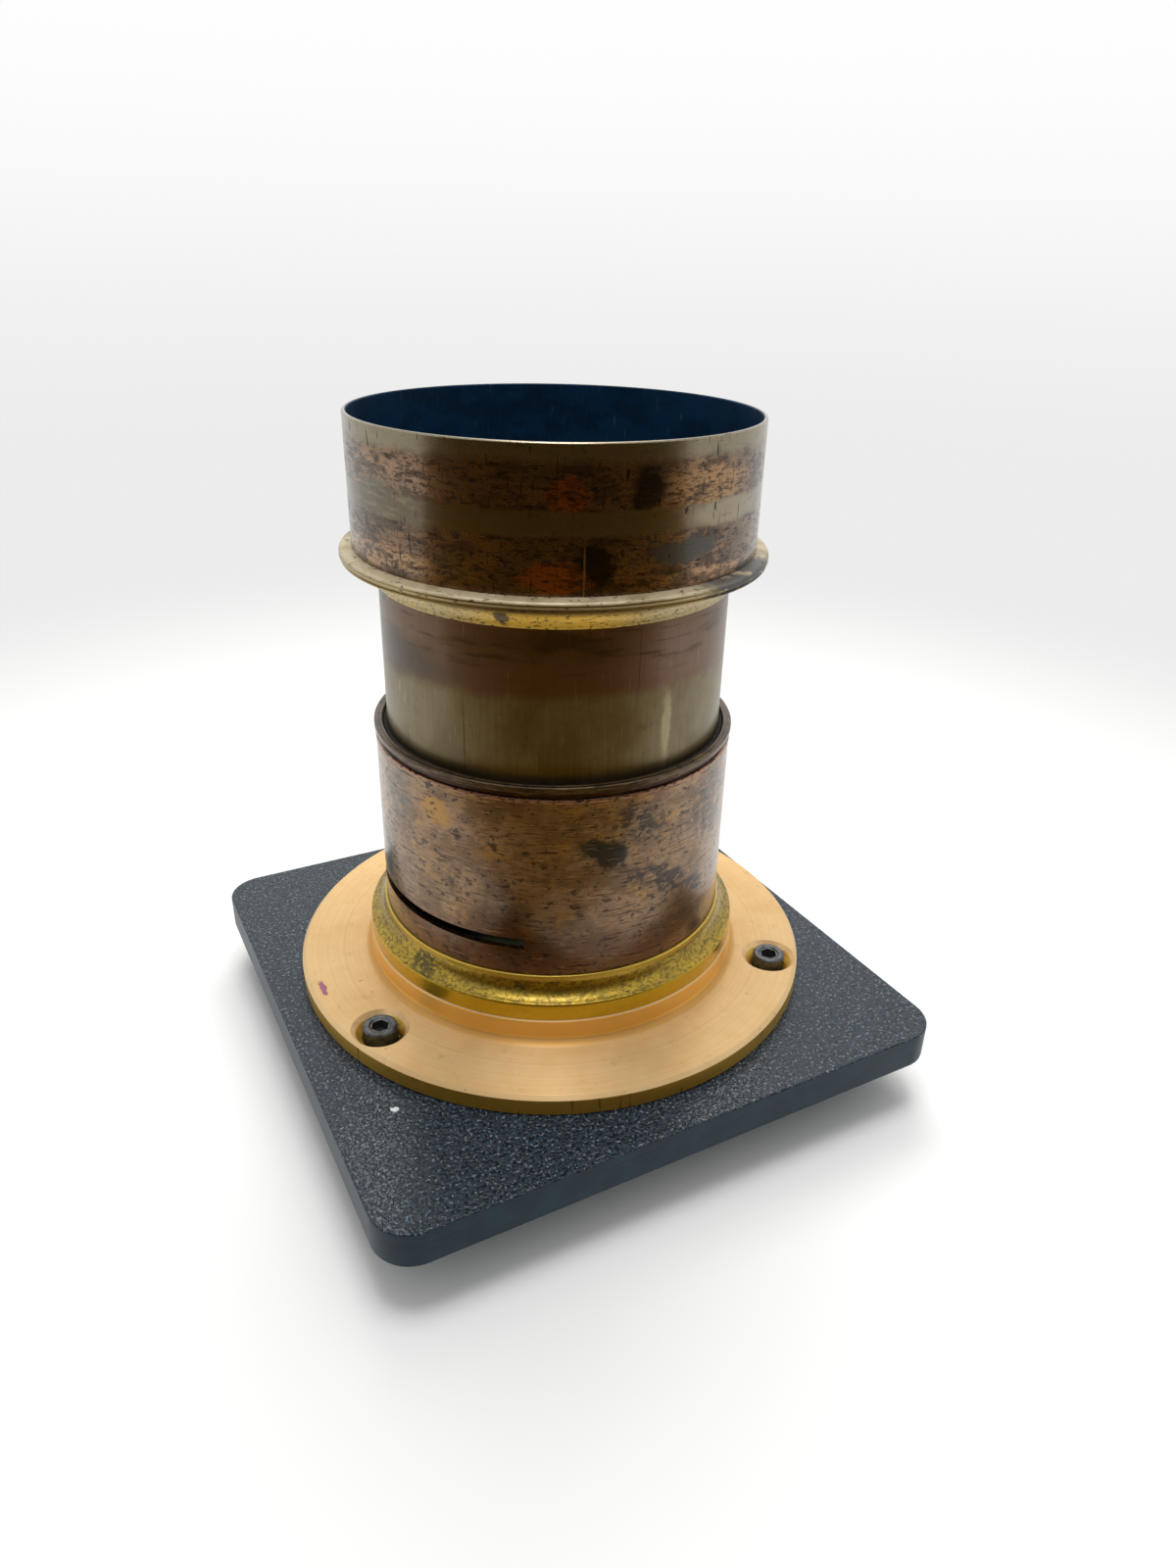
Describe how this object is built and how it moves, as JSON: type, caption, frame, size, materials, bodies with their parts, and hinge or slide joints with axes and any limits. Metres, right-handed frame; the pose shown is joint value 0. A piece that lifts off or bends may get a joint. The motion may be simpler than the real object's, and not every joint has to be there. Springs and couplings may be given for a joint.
{
  "type": "portrait lens",
  "caption": "Brass portrait lens on a square lens board: sliding draw tube, pull-off hood, sideways slot for stop plates.",
  "frame": {"origin": "on the optical axis, in the plane of the rear cell's rim, on which the lens stands", "axes": "+Z along the optical axis towards the subject, X and Y along the edges of the square board"},
  "size_m": [0.1524, 0.1524, 0.1722],
  "materials": {
    "board_plastic": "black printed plastic, fine sandy top face",
    "flange_bronze": "turned, pale tan bronze with lathe rings",
    "screw_black": "black oxide",
    "zinc_steel": "dull zinc plate",
    "collar_brass": "gold lacquer over turned brass, mottled",
    "sleeve_brass": "brown patina with grey stains, fine scratches",
    "rim_brass": "dark brown patina",
    "black_felt": "black felt",
    "cell_brass": "turned brass, aged",
    "crown_glass": "polished crown glass",
    "flint_glass": "polished flint glass",
    "black_paint": "matt black paint on brass",
    "tube_brass": "dark lacquer, fine vertical brushing",
    "gold_brass": "bright gold lacquer with dark specks",
    "hood_brass": "brown and olive patina with scratches",
    "bead_brass": "dull greenish gold, turned"
  },
  "bodies": {
    "barrel": {"lens_board": "board_plastic", "mounting_flange": "flange_bronze", "flange_screws": "screw_black", "flange_washers": "zinc_steel", "flange_nuts": "zinc_steel", "base_collar": "collar_brass", "outer_sleeve": "sleeve_brass", "sleeve_rim": "rim_brass", "felt_ring": "black_felt", "rear_cell": "cell_brass", "rear_crown_glass": "crown_glass", "rear_spacer_ring": "black_paint", "rear_flint_glass": "flint_glass", "rear_retaining_ring": "black_paint"},
    "draw": {"draw_tube": "tube_brass", "tube_guide_ring": "cell_brass", "tube_baffle": "black_paint", "front_collar": "gold_brass", "front_cell": "cell_brass", "front_flint_glass": "flint_glass", "front_crown_glass": "crown_glass", "front_retaining_ring": "black_paint"},
    "hood": {"lens_hood": "hood_brass", "hood_bead": "bead_brass"}
  },
  "joints": [
    {"name": "tube_slide", "type": "slide", "parent": "barrel", "child": "draw", "axis": [0, 0, 1], "range_m": [-0.0345, 0.0185]},
    {"name": "hood_lift", "type": "slide", "parent": "draw", "child": "hood", "axis": [0, 0, 1], "range_m": [0, 0.03]}
  ]
}
